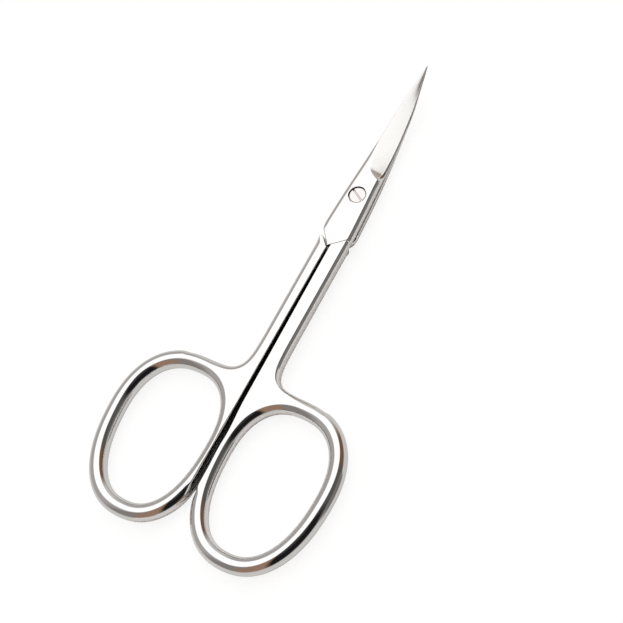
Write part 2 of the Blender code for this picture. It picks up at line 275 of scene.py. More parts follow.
def halfGap(y):
    start, end = shank["gapWidens"]
    share = np.clip((-y - start) / (end - start), 0, 1)
    return shank["gapAtJoint"] + (shank["gapAtRing"] - shank["gapAtJoint"]) * share


def bodyOutlines(hole):
    # Counter-clockwise, from the slit's upper end: down the slit, round the ring, up the neck and shank.
    # Gives the shared part and the two ends, for the top (tongue) and the underside (shoulder).
    spacing = shank["spacing"]
    outward = -leftNormals(hole)
    offset = hole + ring["bar"] * outward
    leftMost = np.argmin(hole[:, 0])
    turning = np.roll(offset, -leftMost, 0)
    joinX, joinY = shank["neckJoins"]
    last = np.nonzero((turning[:, 0] > joinX) & (turning[:, 1] > joinY))[0][-1]
    turning = turning[: last + 1]
    turning[:, 0] = softMax(turning[:, 0], halfGap(turning[:, 1]), shank["gapMeets"])
    slitY = np.arange(shank["slitTop"], turning[0, 1], -spacing)
    slit = np.stack([halfGap(slitY), slitY], axis=1)
    side = np.array([(shank["reach"], y) for y in shank["straight"]])
    shared = resampled(np.vstack([slit, turning, neckPath, side]), spacing)
    eased = relaxed(shared, spacing, shank["easeOutline"], closed=False)
    along = lengthsAlong(shared)
    kept = shank["easeEnds"]
    ends = smoothStep(along, 0, kept) * smoothStep(along[-1] - along, 0, kept)
    shared = shared + (eased - shared) * ends[:, None]
    tongue = resampled(np.array([*tonguePath, (shank["gapAtJoint"], shank["slitTop"])]), spacing)
    tongue = relaxed(tongue, spacing, shank["easeTongue"], closed=False)[1:-1]
    shoulder = resampled(shoulderPath, spacing)
    shoulder = relaxed(shoulder, spacing, shank["easeShoulder"], closed=False)[1:-1]
    return shared, tongue, shoulder


def turnLimit(points, spacing):
    # most of the outline's own radius at its outward turns, so that the rounding never folds over
    heading = np.unwrap(np.arctan2(*(np.roll(points, -1, 0) - points).T[::-1]))
    bend = (heading - np.roll(heading, 1) + np.pi) % (2 * np.pi) - np.pi
    bend = relaxed(bend, spacing, 0.12) / spacing
    limit = 0.7 / np.maximum(bend, 0.05)
    near = np.stack([np.roll(limit, k) for k in range(-3, 4)])
    return near.min(0)


def roomOnRing(points, hole):
    # how far in an edge can reach before it meets the hole's own
    nearest = np.array([np.min(np.linalg.norm(hole - p, axis=1)) for p in points])
    return nearest - ring["innerRound"] - ring["crest"]


def edgeSizes(points, hole, onTop):
    # How far in from the outline the edge reaches, and how round it is: 1 is the ring's half oval,
    # 0 the shank's own edge, crisp on the outer face and softer on the inner one.
    onRing = roomOnRing(points, hole)
    x, y = points[:, 0], points[:, 1]
    slitSide = (x < shank["slitSide"][0]) & (y > shank["slitSide"][1])
    onBar = y < shank["ringBelow"]
    own = shank["outerEdge"] if onTop else shank["innerEdge"]
    neck = smoothStep(x, *shank["neckAcross"]) * smoothStep(-y, *shank["neckDown"])
    width = own + (ring["innerRound"] - own) * neck
    slit = shank["gapCrisp"] if onTop else shank["gapRound"]
    slit = slit + (shank["gapOnRing"] - slit) * smoothStep(-y, *shank["gapOnRingFrom"])
    width = np.where(slitSide, slit, width)
    width = np.where(onBar & ~slitSide, ring["innerRound"], width)
    if not onTop:
        # the shoulder's end is sharper where it faces the other half's plate
        facing = smoothStep(y, *shank["facingUp"]) * (1 - smoothStep(x, *shank["facingAcross"]))
        width = width + (shank["shoulderEdge"] - width) * facing
    roundness = np.where(slitSide | onBar, 1.0, neck if onTop else 1.0)
    return np.minimum(width, onRing), roundness


def edgeProfile(width, roundness, rows):
    # Two curves from the widest line up to the flat, mixed by roundness: a quarter oval, and a wall that
    # leans in by a power of its height and ends in a small rounded crease. Gives distance in, height and
    # the normal.
    half, power = shank["halfStock"], shank["wallPower"]
    turn = np.linspace(0, np.pi / 2, rows)[:, None]
    ovalIn, ovalUp = (1 - np.cos(turn)) * width[None, :], np.sin(turn) * half
    heights = np.full((len(width), 1), half)
    wallIn, wallUp = leaningWall(heights, width[:, None], shank["crease"], rows - creaseSteps, power)
    mix = roundness[None, :]
    deep = ovalIn * mix + wallIn.T * (1 - mix)
    high = ovalUp * mix + wallUp.T * (1 - mix)
    out, up = np.gradient(high, axis=0), np.gradient(deep, axis=0)
    out[0], up[0], out[-1], up[-1] = 1, 0, 0, 1
    size = np.hypot(out, up)
    return deep, high, out / size, up / size


def leaningWall(height, lean, crease, steps, power, foot=0.1, inset=0, broad=1):
    # Columns from the wall's foot to where its edge has turned flat. The wall leans in by a power of its
    # height up to the crease, which is a quadratic curve that starts along the wall and ends level, broad
    # times as wide as it is high. At the foot it draws in again by the square of the height left to the
    # foot's top.
    share = (1 - crease / height) * (1 - np.cos(np.linspace(0, np.pi, steps)[None, :])) / 2
    deep = lean * share**power + inset * np.maximum(1 - share * height / foot, 0) ** 2
    corner = deep[:, -1:] + crease * power * lean * share[:, -1:] ** (power - 1) / height
    t = np.arange(1, creaseSteps + 1)[None, :] / creaseSteps
    edge = (1 - t) ** 2 * deep[:, -1:] + 2 * t * (1 - t) * corner + t**2 * (corner + crease * broad)
    return np.hstack([deep, edge]), np.hstack([share * height, height - (1 - t) ** 2 * crease])


def cornersOf(quads, normals):
    return normals.reshape(-1, 3)[quads]


def scissorBody():
    # The ring, neck and shank: edges carried along the outline and round the hole, flats between them.
    shell = Shell()
    spacing = shank["spacing"]
    hole = holePath(spacing)
    shared, tongue, shoulder = bodyOutlines(hole)
    rows, half = shank["edgeRows"], shank["halfStock"]
    nShared = len(shared)
    sharedBase = None
    rims = []
    for sign, end in ((1, tongue), (-1, shoulder)):
        path = np.vstack([shared, end])
        count = len(path)
        wide, roundness = edgeSizes(path, hole, sign > 0)
        widths = relaxed(np.minimum(wide, turnLimit(path, spacing)), spacing, shank["easeWidths"])
        widths = np.minimum(widths, roomOnRing(path, hole))
        roundness = relaxed(roundness, spacing, shank["easeRoundness"])
        inward = leftNormals(path)
        deep, high, out, up = edgeProfile(widths, roundness, rows)
        points = np.empty((rows, count, 3))
        points[..., :2] = path[None] + inward[None] * deep[..., None]
        points[..., 2] = sign * high
        normals = np.empty_like(points)
        normals[..., :2] = -inward[None] * out[..., None]
        normals[..., 2] = sign * up
        if sharedBase is None:
            first = shell.add(points)
            ids = first + np.arange(rows * count).reshape(rows, -1)
            sharedBase, tongueBase = ids[0, :nShared], ids[0, nShared:]
        else:
            # the shared stretch uses the same widest line as the top
            newBase = shell.add(points[0, nShared:])
            shoulderBase = newBase + np.arange(len(end))
            first = shell.add(points[1:])
            ids = np.vstack([np.concatenate([sharedBase, shoulderBase])[None, :],
                             first + np.arange((rows - 1) * count).reshape(rows - 1, -1)])
        local = np.arange(rows * count).reshape(rows, -1)
        beside = np.roll(local, -1, 1)
        quads = np.stack([local[:-1], beside[:-1], beside[1:], local[1:]], axis=-1).reshape(-1, 4)
        quads = quads if sign > 0 else quads[:, ::-1]
        shell.face(ids.ravel()[quads], cornersOf(quads, normals))
        rims.append((ids[-1], points[-1][:, :2]))

    # the hole's rounded edge, all round
    outward = -leftNormals(hole)
    turn = np.linspace(-np.pi / 2, np.pi / 2, 2 * rows - 1)
    c, s = np.cos(turn)[:, None], np.sin(turn)[:, None]
    points = np.empty((len(turn), len(hole), 3))
    points[..., :2] = hole[None] + outward[None] * (ring["innerRound"] * (1 - c))[..., None]
    points[..., 2] = half * s
    out, up = c / ring["innerRound"], s / half
    size = np.hypot(out, up)
    normals = np.empty_like(points)
    normals[..., :2] = -outward[None] * (out / size)[..., None]
    normals[..., 2] = up / size
    first = shell.add(points)
    ids = np.arange(len(turn) * len(hole)).reshape(len(turn), -1)
    beside = np.roll(ids, -1, 1)
    quads = np.stack([ids[:-1], ids[1:], beside[1:], beside[:-1]], axis=-1).reshape(-1, 4)
    shell.face(first + quads, cornersOf(quads, normals))

    # flats on top and underneath
    for (rim, rimPoints), crest, crestPoints, sign in (
        (rims[0], first + ids[-1], points[-1, :, :2], 1),
        (rims[1], first + ids[0], points[0, :, :2], -1),
    ):
        triangles = flatFill([rimPoints, crestPoints])
        names = np.concatenate([rim, crest])[triangles]
        shell.face(names if sign > 0 else names[:, ::-1], (0, 0, sign))

    # the tongue's underside, between the two ends
    loop = np.vstack([tongue, shared[:1], shoulder[::-1], shared[-1:]])
    loopIds = np.concatenate([tongueBase, sharedBase[:1], shoulderBase[::-1], sharedBase[-1:]])
    shell.face(loopIds[flatFill([loop])][:, ::-1], (0, 0, -1))
    return shell


plate = {
    "point": -10.33,            # of the V
    "pointAcross": -0.29,
    "ledge": 0.1,               # how far the other half's spine shows beyond the plate
    "spineCrease": 0.34,        # rounding of the plate's edge on the spine's side
    "spineBroad": 2.4,          # how much wider that is than high
    "vCrease": 0.22,            # rounding of the V's edge
    "lean": 0.25,               # of the spine's wall, as a share of the thickness
    "edgeLean": 0.5,            # of the wall on the edge's side, in millimetres
    "leanShows": 0.64,          # share of that lean added to the spine's width
    "leanFrom": (-7.8, -6.6),
    "vLeansFrom": (0.1, 0.9),   # above the V's point, as the edge's side begins to lean
    "creaseFrom": (-8.2, -7.0),     # from the V's rounding to the spine's
    "creaseFades": (6.5, 12),
    "ledgeFrom": (2, 5),        # from the plate's ledge to the blade's
    "padFades": (3, 12),
    "slopeLeft": 1.16,
    "slopeRight": 0.775,
    "roundLeft": 0.3,           # where the V's arms meet the sides
    "roundRight": 0.06,
    "padTop": 1.76,
    "gap": 0.03,                # half the gap between the two halves
    "foot": 0.3,                # height of the rounding at the walls' feet
    "footInset": 0.15,
    "cornerFoot": 1.2,          # the same at the plate's corner beside the shoulder
    "cornerInset": 1.0,
    "cornerEnds": (-6.8, -5.9),
    "tipFoot": 0.5,             # share of the corner's foot that comes back towards the tip
    "tipFootFrom": (11, 17),
    "wallSteps": 14,
    "pointRows": (0.02, 0.06, 0.12, 0.2),
    "sharpAngle": 28,
}
blade = {
    "reach": 26.8,
    "curveStart": 1.8,
    "curveRadius": 122.0,
    "ledge": 0.04,
    "grindStart": 5.9,          # where the grinding wheel's round end begins
    "grindRound": 2.2,
    "grindHollow": -0.12,       # below nought the ground face bulges a little
    "tipHollow": -0.35,
    "tipHollowFrom": (18, 23),
    "groundFrom": 3.75,         # nearer the joint nothing is ground
    "sharpens": (3.9, 6.5),     # from the plate's wall to the cutting bevel
    "bevel": 0.6,               # lean of the cutting bevel, as a share of its height
    "bevelPower": 1.3,
    "landColumns": 6,
    "groundColumns": 21,
    "contactColumns": 10,
    "ease": 0.9,
    # up to where the rows go, and how far apart they are
    "rows": ((-6.4, 0.08), (3.6, 0.2), (6.4, 0.02), (26.0, 0.1), (26.8, 0.04)),
}
# Half width of the blade on its spine's side, thickness at the spine, height of the cutting bevel, and the
# ridge where the ground face begins, which runs out to the spine
spineStations = np.array([
    (-7.5, 2.76), (-5, 2.64), (-1, 2.44), (5, 2.06), (9, 1.79), (13, 1.53), (17, 1.25), (19, 1.06),
    (21, 0.79), (23, 0.50), (25, 0.29), (26, 0.17), (26.8, 0.04),
])
thickStations = np.array([
    (-11, 1.72), (2.5, 1.72), (7, 1.5), (11.5, 1.2), (14.5, 1.02), (18.5, 0.85), (21, 0.7),
    (23, 0.52), (25, 0.28), (26.2, 0.12), (26.8, 0.04),
])
edgeStations = np.array([
    (-11, 0.75), (3.5, 0.75), (5.2, 0.64), (7, 0.5), (9, 0.34), (11, 0.26), (13, 0.2), (19, 0.15),
    (23, 0.10), (26.8, 0.04),
])
ridgeStations = np.array([
    (-11, -0.45), (5.4, -0.45), (6.4, -0.58), (8, -1.0), (9.5, -1.4), (11, -1.8), (13, -2.4),
    (26.8, -2.4),
])


def smoothCurve(stations, at):
    # straight steps between the stations, smoothed so that reflections run evenly
    fine = np.linspace(stations[0, 0] - 4, stations[-1, 0] + 2, 4000)
    step = fine[1] - fine[0]
    values = np.interp(fine, stations[:, 0], stations[:, 1])
    slopeEnd = (stations[-1, 1] - stations[-2, 1]) / (stations[-1, 0] - stations[-2, 0])
    values = np.where(fine > stations[-1, 0], stations[-1, 1] + slopeEnd * (fine - stations[-1, 0]), values)
    return np.interp(at, fine, relaxed(values, step, blade["ease"], closed=False))


def contactRise(y, bend):
    return bend * np.maximum(y - blade["curveStart"], 0) ** 2 / (2 * blade["curveRadius"])


def bladeRows():
    rows = [plate["point"] + np.array(plate["pointRows"][:-1])]
    start = plate["point"] + plate["pointRows"][-1]
    for end, apart in blade["rows"]:
        rows.append(np.arange(start, end, apart))
        start = end
    return np.concatenate([*rows, [blade["reach"]]])


def plateAndBlade(bend):
    # A closed loft. Each row is a section across; its columns run from the contact face's left corner up the
    # spine's wall, over the land, down the hollow to the cutting edge and back along the contact face.
    y = bladeRows()
    rowCount = len(y)
    rise = contactRise(y, bend)
    low = rise + plate["gap"]
    pad = plate["padTop"] - thickStations[0, 1] - plate["gap"]
    thick = smoothCurve(thickStations, y) + pad * (1 - smoothStep(y, *plate["padFades"]))
    top = low + thick
    lean = plate["lean"] * thick * smoothStep(y, *plate["leanFrom"])
    spine = smoothCurve(spineStations, y)
    full = np.maximum(spine + plate["leanShows"] * lean, 0.03)
    fromPoint = y - plate["point"]
    left = softMin(fromPoint / plate["slopeLeft"] - plate["pointAcross"], full, plate["roundLeft"]) + 0.01
    # on the edge's side the plate and blade stay just inside the other half's spine
    rightFull = spine + plate["leanShows"] * plate["lean"] * thick - plate["ledge"]
    rightFull = rightFull + (plate["ledge"] - blade["ledge"]) * smoothStep(y, *plate["ledgeFrom"])
    rightFull = relaxed(np.maximum(rightFull, 0.03), 1, 1.0, closed=False)
    leanV = plate["edgeLean"] * smoothStep(fromPoint, *plate["vLeansFrom"])
    right = fromPoint / plate["slopeRight"] + plate["pointAcross"] + leanV
    right = softMin(right, rightFull, plate["roundRight"]) + 0.01
    left = np.maximum(left, 0.02)
    right = np.where(y < 0, right, np.maximum(right, 0.02))
    thick = np.maximum(thick, 0.04)
    across = left + right
    foot = np.minimum(plate["foot"], 0.3 * thick)[:, None]

    # left wall and its edge
    xs, zs = [], []
    beyondV = smoothStep(y, *plate["creaseFrom"])
    crease = plate["vCrease"] + (plate["spineCrease"] - plate["vCrease"]) * beyondV
    crease = crease * (1 - smoothStep(y, *plate["creaseFades"])) + 0.02
    crease = np.minimum(crease, np.minimum(0.8 * across, thick) * 0.3)[:, None]
    broad = (1 + (plate["spineBroad"] - 1) * beyondV)[:, None]
    inset = np.minimum(plate["footInset"], 0.2 * across)[:, None]
    corner = 1 - smoothStep(y, *plate["cornerEnds"])
    corner = corner + plate["tipFoot"] * smoothStep(y, *plate["tipFootFrom"])
    cornerFoot = plate["foot"] + (plate["cornerFoot"] - plate["foot"]) * corner
    cornerFoot = np.minimum(cornerFoot, 0.7 * thick)[:, None]
    cornerInset = plate["footInset"] + (plate["cornerInset"] - plate["footInset"]) * corner
    cornerInset = np.minimum(cornerInset, 0.2 * across)[:, None]
    leftLean = np.minimum(lean, 0.8 * left)[:, None]
    deep, high = leaningWall(thick[:, None], leftLean, crease, plate["wallSteps"], shank["wallPower"],
                             cornerFoot, cornerInset, broad)
    leftFoot = deep[:, :1] - left[:, None]
    xs.append(deep - left[:, None])
    zs.append(low[:, None] + high)
    landStart = xs[0][:, -1:]

    # share of the way across at which the hollow begins
    ridgeX = np.maximum(smoothCurve(ridgeStations, y), landStart[:, 0] + 0.03)
    ridgeX = np.minimum(ridgeX, landStart[:, 0] + 0.7 * (right - landStart[:, 0]))
    edgeThick = np.minimum(smoothCurve(edgeStations, y), 0.6 * thick)
    fall = np.maximum(thick - edgeThick, 0.02)
    # the wheel's end lifts the ground face by the square of the distance from its start
    arc = np.clip(blade["grindStart"] - y, 0, 9) ** 2 / (2 * blade["grindRound"])
    atTip = smoothStep(y, *blade["tipHollowFrom"])
    bow = blade["grindHollow"] + (blade["tipHollow"] - blade["grindHollow"]) * atTip
    share = np.clip(arc / fall, 0, 1)
    begin = ((1 + bow) - np.sqrt((1 + bow) ** 2 - 4 * bow * share)) / (2 * bow)
    begin = np.clip(begin, 0, 0.985) - 0.5 * smoothStep(blade["groundFrom"] - y, 0, 1.5)

    sharp = smoothStep(y, *blade["sharpens"])
    edgeHeight = (thick - np.maximum(fall - arc, 0))[:, None]
    edgeLean = leanV * (1 - sharp) + blade["bevel"] * edgeHeight[:, 0] * sharp
    edgeCrease = shank["crease"] * (1 - sharp) + 0.01 + 0.07 * (1 - smoothStep(y, -8.5, -8.1))
    edgeCrease = np.minimum(edgeCrease, 0.2 * np.minimum(across, edgeHeight[:, 0]))
    edgePower = shank["wallPower"] * (1 - sharp) + blade["bevelPower"] * sharp
    edgeFoot = np.minimum(foot, 0.3 * edgeHeight)
    blunt = 1 - sharp[:, None]
    edgeInset = inset * blunt + 0.02 * sharp[:, None] * np.minimum(across, 1)[:, None]
    edgeDeep, edgeHigh = leaningWall(edgeHeight, edgeLean[:, None], edgeCrease[:, None], plate["wallSteps"],
                                     edgePower[:, None], edgeFoot, edgeInset)
    rightFoot = right[:, None] - edgeDeep[:, :1]
    roundRight = edgeDeep[:, -1:]
    span = (right - ridgeX)[:, None] - roundRight
    hollowX = ridgeX[:, None] + begin[:, None] * span
    flat = np.linspace(0, 1, blade["landColumns"] + 1)[None, 1:]
    xs.append(landStart + (hollowX - landStart) * flat)
    zs.append(np.repeat(top[:, None], blade["landColumns"], 1))
    shares = np.linspace(0, 1, blade["groundColumns"] + 1)[None, 1:]
    u = begin[:, None] + (1 - begin[:, None]) * shares
    depth = fall[:, None] * (u + bow[:, None] * u * (1 - u)) - arc[:, None]
    xs.append(ridgeX[:, None] + u * span)
    zs.append(top[:, None] - np.maximum(depth, 0))
    # right wall, down to the contact face
    xs.append((right[:, None] - edgeDeep)[:, -2::-1])
    zs.append((low[:, None] + edgeHigh)[:, -2::-1])
    # contact face, back to the left
    back = np.linspace(1, 0, blade["contactColumns"] + 2)[None, 1:-1]
    xs.append(leftFoot + (rightFoot - leftFoot) * back)
    zs.append(np.repeat(low[:, None], blade["contactColumns"], 1))
    x, z = np.hstack(xs), np.hstack(zs)
    columns = x.shape[1]
    points = np.stack([x, np.repeat(y[:, None], columns, 1), z], axis=-1)
    quads = gridFaces(rowCount, columns, wrapColumns=True)
    column = np.tile(np.arange(columns), rowCount - 1)
    rowOf = np.repeat(np.arange(rowCount - 1), columns)
    first = plate["wallSteps"] + creaseSteps + blade["landColumns"] - 1
    hollow = (column >= first) & (column < first + blade["groundColumns"]) & (y[rowOf] > blade["groundFrom"])
    return points, quads, hollow, columns


mergeWithin = 2e-7                  # metres
roundSides = 160                    # of a turned shape


def plateMesh(name, bend, turnedOver, seatRadius, seatDepth, holeRadius):
    points, quads, hollow, columns = plateAndBlade(bend)
    rowCount = len(points)
    flatPoints = points.reshape(-1, 3)
    if turnedOver:
        flatPoints = flatPoints * [-1, 1, -1]
    made = bpy.data.meshes.new(name)
    firstRow = list(range(columns))
    lastRow = [(rowCount - 1) * columns + column for column in firstRow]
    made.from_pydata((flatPoints * mm + pivot).tolist(), [], [*quads.tolist(), firstRow[::-1], lastRow])
    made.polygons.foreach_set("material_index", np.concatenate([hollow.astype(int), [0, 0]]))
    made.update()
    shape = bmesh.new()
    shape.from_mesh(made)
    bmesh.ops.remove_doubles(shape, verts=shape.verts, dist=mergeWithin)
    bmesh.ops.recalc_face_normals(shape, faces=shape.faces)
    shape.to_mesh(made)
    shape.free()
    holder = bpy.data.objects.new(name, made)
    bpy.context.scene.collection.objects.link(holder)
    seat = plate["padTop"] - seatDepth
    cutter = lathe("plateCutter", [(0, 4), (seatRadius, 4), (seatRadius, seat), (holeRadius, seat),
                                   (holeRadius, -1), (0, -1)], roundSides, turnedOver)
    cutAway(holder, cutter, plate["sharpAngle"])
    # normals follow the larger faces, so the flats stay flat right up to their rounded edges
    weighted = holder.modifiers.new("normals", "WEIGHTED_NORMAL")
    weighted.keep_sharp = True
    cut = evaluated(holder)
    bpy.data.objects.remove(holder, do_unlink=True)
    return cut


def evaluated(holder):
    # the mesh with its modifiers applied, shaded smooth
    graph = bpy.context.evaluated_depsgraph_get()
    made = bpy.data.meshes.new_from_object(holder.evaluated_get(graph))
    made.polygons.foreach_set("use_smooth", np.ones(len(made.polygons), bool))
    return made


def cutAway(holder, cutter, sharpAngle):
    # takes the cutter's shape out of the holder, and marks its edges that are sharper than the angle
    modifier = holder.modifiers.new("cut", "BOOLEAN")
    modifier.operation = "DIFFERENCE"
    modifier.object = cutter
    modifier.solver = "EXACT"
    cut = evaluated(holder)
    cut.set_sharp_from_angle(angle=math.radians(sharpAngle))
    holder.modifiers.clear()
    holder.data = cut
    bpy.data.objects.remove(cutter, do_unlink=True)


def lathe(name, profile, steps, turnedOver=False):
    # (radius, height) pairs from top to bottom, turned about the pivot; points on the axis are single
    profile = np.array(profile, float)
    angle = np.arange(steps) * 2 * np.pi / steps
    ringsAt = profile[1:-1]
    points = np.stack([
        ringsAt[:, 0][:, None] * np.cos(angle), ringsAt[:, 0][:, None] * np.sin(angle),
        np.repeat(ringsAt[:, 1][:, None], steps, 1),
    ], axis=-1).reshape(-1, 3)
    top, bottom = [0, 0, profile[0, 1]], [0, 0, profile[-1, 1]]
    points = np.vstack([points, [top], [bottom]])
    if turnedOver:
        points = points * [-1, 1, -1]
    quads = gridFaces(len(ringsAt), steps, wrapColumns=True, flip=True).tolist()
    index = np.arange(steps)
    nextIndex = (index + 1) % steps
    last = (len(ringsAt) - 1) * steps
    capTop = np.stack([np.full(steps, len(points) - 2), index, nextIndex], axis=1).tolist()
    capBottom = np.stack([np.full(steps, len(points) - 1), last + nextIndex, last + index], axis=1)
    capBottom = capBottom.tolist()
    made = bpy.data.meshes.new(name)
    made.from_pydata((points * mm + pivot).tolist(), [], quads + capTop + capBottom)
    made.update()
    holder = bpy.data.objects.new(name, made)
    bpy.context.scene.collection.objects.link(holder)
    return holder


def scissorHalf(name, body, bend, turnedOver, cut):
    bodyMesh = body.mesh(name + "Body", turnedOver)
    plateCut = plateMesh(name + "Plate", bend, turnedOver, *cut)
    bodyObject = bpy.data.objects.new(name, bodyMesh)
    plateObject = bpy.data.objects.new(name + "Plate", plateCut)
    for made in (bodyObject, plateObject):
        bpy.context.scene.collection.objects.link(made)
        for material in (polished, ground):
            made.data.materials.append(material)
    joined = [bodyObject, plateObject]
    with bpy.context.temp_override(active_object=bodyObject, selected_editable_objects=joined):
        bpy.ops.object.join()
    return bodyObject


class Socket:
    # wraps a socket so that plain Python sums add Math nodes
    def __init__(self, tree, socket):
        self.tree, self.socket = tree, socket

    def math(self, operation, *others):
        made = self.tree.nodes.new("ShaderNodeMath")
        made.operation = operation
        for place, value in zip(made.inputs, (self, *others)):
            if isinstance(value, Socket):
                self.tree.links.new(value.socket, place)
            else:
                place.default_value = value
        return Socket(self.tree, made.outputs[0])

    def __add__(self, other):
        return self.math("ADD", other)

    def __sub__(self, other):
        return self.math("SUBTRACT", other)

    def __mul__(self, other):
        return self.math("MULTIPLY", other)

    def __rsub__(self, other):
        return (self * -1) + other

    def __truediv__(self, other):
        return self.math("DIVIDE", other)

    __radd__ = __add__
    __rmul__ = __mul__


class Nodes:
    def __init__(self, tree):
        self.tree = tree

    def add(self, kind, settings=None, **sockets):
        made = self.tree.nodes.new("ShaderNode" + kind)
        for key, value in (settings or {}).items():
            if key == "stops":
                ramp = made.color_ramp
                while len(ramp.elements) > len(value):
                    ramp.elements.remove(ramp.elements[-1])
                while len(ramp.elements) < len(value):
                    ramp.elements.new(1)
                for element, (position, colour) in zip(ramp.elements, value):
                    element.position = position
                    element.color = (*colour, 1)
            else:
                setattr(made, key, value)
        for key, value in sockets.items():
            place = made.inputs[key.replace("_", " ")]
            if isinstance(value, Socket):
                self.tree.links.new(value.socket, place)
            else:
                place.default_value = value
        return made

    def out(self, node, name=0):
        return Socket(self.tree, node.outputs[name])

    def step(self, value, low, high):
        # rises softly from 0 at low to 1 at high
        settings = {"interpolation_type": "SMOOTHSTEP"}
        return self.out(self.add("MapRange", settings, Value=value, From_Min=low, From_Max=high))


finishes = {
    "polished": {"colour": (0.83, 0.82, 0.81), "roughness": 0.07, "scratch": 0.03, "bump": 0.02},
    "ground": {"colour": (0.84, 0.825, 0.80), "roughness": 0.26, "scratch": 0.06, "bump": 0.02},
    "screw": {"colour": (0.80, 0.76, 0.75), "roughness": 0.2, "scratch": 0.08, "bump": 0.03},
}


def steelFinish(name, lines):
    # Plated steel: fine lines from polishing lightly change the roughness and the bump.
    settings = finishes[name]
    material = bpy.data.materials.new(name + "Steel")
    material.use_nodes = True
    nodes = Nodes(material.node_tree)
    shader = material.node_tree.nodes["Principled BSDF"]
    place = nodes.out(nodes.add("TexCoord"), "Object")
    stretched = nodes.out(nodes.add("Mapping", Vector=place, Scale=lines))
    fine = nodes.out(nodes.add("TexNoise", Vector=stretched, Scale=1.0, Detail=4.0, Roughness=0.6), "Fac")
    broad = nodes.out(nodes.add("TexNoise", Vector=place, Scale=420.0, Detail=2.0), "Fac")
    scratch = settings["scratch"]
    roughness = settings["roughness"] + (fine - 0.5) * scratch + (broad - 0.5) * (scratch * 0.6)
    material.node_tree.links.new(roughness.socket, shader.inputs["Roughness"])
    bump = nodes.add("Bump", Strength=settings["bump"], Distance=0.00002, Height=fine)
    material.node_tree.links.new(bump.outputs["Normal"], shader.inputs["Normal"])
    shader.inputs["Base Color"].default_value = (*settings["colour"], 1)
    shader.inputs["Metallic"].default_value = 1
    return material


polished = steelFinish("polished", (1800, 260, 1800))
ground = steelFinish("ground", (500, 5200, 500))
screwSteel = steelFinish("screw", (2600, 700, 2600))
print("finishes made")


screw = {
    "headRadius": 1.54,
    "headRound": 0.26,          # rounding of the head's rim, dropping rimDrop times as far
    "rimDrop": 1.3,
    "dome": 0.03,
    "head": 0.76,               # its thickness
    "sunk": 0.10,               # below the plate's top
    "seatRadius": 1.60,
    "seatDepth": 0.9,
    "shankRadius": 0.9,
    "endBevel": 0.08,
    "upperHole": 1.0,
    "lowerHole": 0.96,
    "lowerSeat": 0.3,
    "sharpAngle": 25,
    "slotReach": 1.2,           # of the cutter, in head radii
    "slotWidth": 0.36,
    "slotDepth": 0.34,
    "slotBottom": 0.16,         # height of the slot's rounded bottom
    "slotTurn": -32,
}

body = scissorBody()
upperCut = (screw["seatRadius"], screw["seatDepth"], screw["upperHole"])
# the lower half's hole has no wider seat
lowerCut = (screw["lowerHole"], screw["lowerSeat"], screw["lowerHole"])
upperHalf = scissorHalf("upperHalf", body, 1, False, upperCut)
lowerHalf = scissorHalf("lowerHalf", body, -1, True, lowerCut)
print("halves made,", len(upperHalf.data.polygons), "faces each")


def slotCutter(reach, high):
    # a bar across the head, with straight sides and a bottom that is half an oval
    half, low = screw["slotWidth"] / 2, high - screw["slotDepth"]
    turn = np.linspace(0, math.pi, 17)
    across = [(half * math.cos(a), low + screw["slotBottom"] * (1 - math.sin(a))) for a in turn]
    across += [(-half, high + 1), (half, high + 1)]
    count = len(across)
    corners = np.array([(x, y, z) for x in (-reach, reach) for y, z in across])
    t = math.radians(screw["slotTurn"])
    turnX = corners[:, 0] * math.cos(t) - corners[:, 1] * math.sin(t)
    turnY = corners[:, 0] * math.sin(t) + corners[:, 1] * math.cos(t)
    corners = np.stack([turnX, turnY, corners[:, 2]], axis=1)
    ends = [tuple(range(count)), tuple(range(count, 2 * count))[::-1]]
    sides = [(k, k + count, (k + 1) % count + count, (k + 1) % count) for k in range(count)]
    made = bpy.data.meshes.new("slot")
    made.from_pydata((corners * mm + pivot).tolist(), [], ends + sides)
    cutter = bpy.data.objects.new("slotCutter", made)
    bpy.context.scene.collection.objects.link(cutter)
    return cutter


def pivotScrew():
    # a turned head with a slightly domed face, cut across by its slot
    high, low = plate["padTop"] - screw["sunk"], -plate["padTop"]
    r, rounded, dome = screw["headRadius"], screw["headRound"], screw["dome"]
    thin, bevel = screw["shankRadius"], screw["endBevel"]
    profile = [(0, high)]
    profile += [((r - rounded) * t, high - dome * t**2) for t in np.linspace(0, 1, 14)[1:]]
    profile += [
        (r - rounded * (1 - math.sin(a)), high - dome - screw["rimDrop"] * rounded * (1 - math.cos(a)))
        for a in np.linspace(0, math.pi / 2, 9)[1:]
    ]
    profile += [(r, high - screw["head"]), (thin, high - screw["head"]), (thin, low + bevel),
                (thin - bevel, low), (0, low)]
    holder = lathe("pivotScrew", profile, roundSides)
    cutAway(holder, slotCutter(r * screw["slotReach"], high), screw["sharpAngle"])
    holder.data.materials.append(screwSteel)
    return holder


pivotScrewPiece = pivotScrew()
for piece, node, bodyName in (
    (upperHalf, "upper_half", "upper_half"),
    (lowerHalf, "lower_half", "lower_half"),
    (pivotScrewPiece, "pivot_screw", "lower_half"),
):
    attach(piece, bodyName)
    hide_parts(node)
print("pieces placed")


floor = {
    "size": 3.0,
    "below": 0.0001,
    "colour": 0.3,
    "lift": 0.85,               # brings the lit floor up to white in the camera's view
    "mirrored": 1.3,            # its colour in the steel's reflections
    "mirroredReach": 0.0075,    # either side of the long axis; beyond, the steel mirrors the room's table
    "dark": 0.05,               # painted shade: its colour in the steel's reflections in narrow gaps
    "shadeReach": 0.01,         # how far off steel still shades it
    "shadeSamples": 64,
    "shaded": (0.14, 0.30),     # how open it is to the sky where it is dark, and where no longer
}


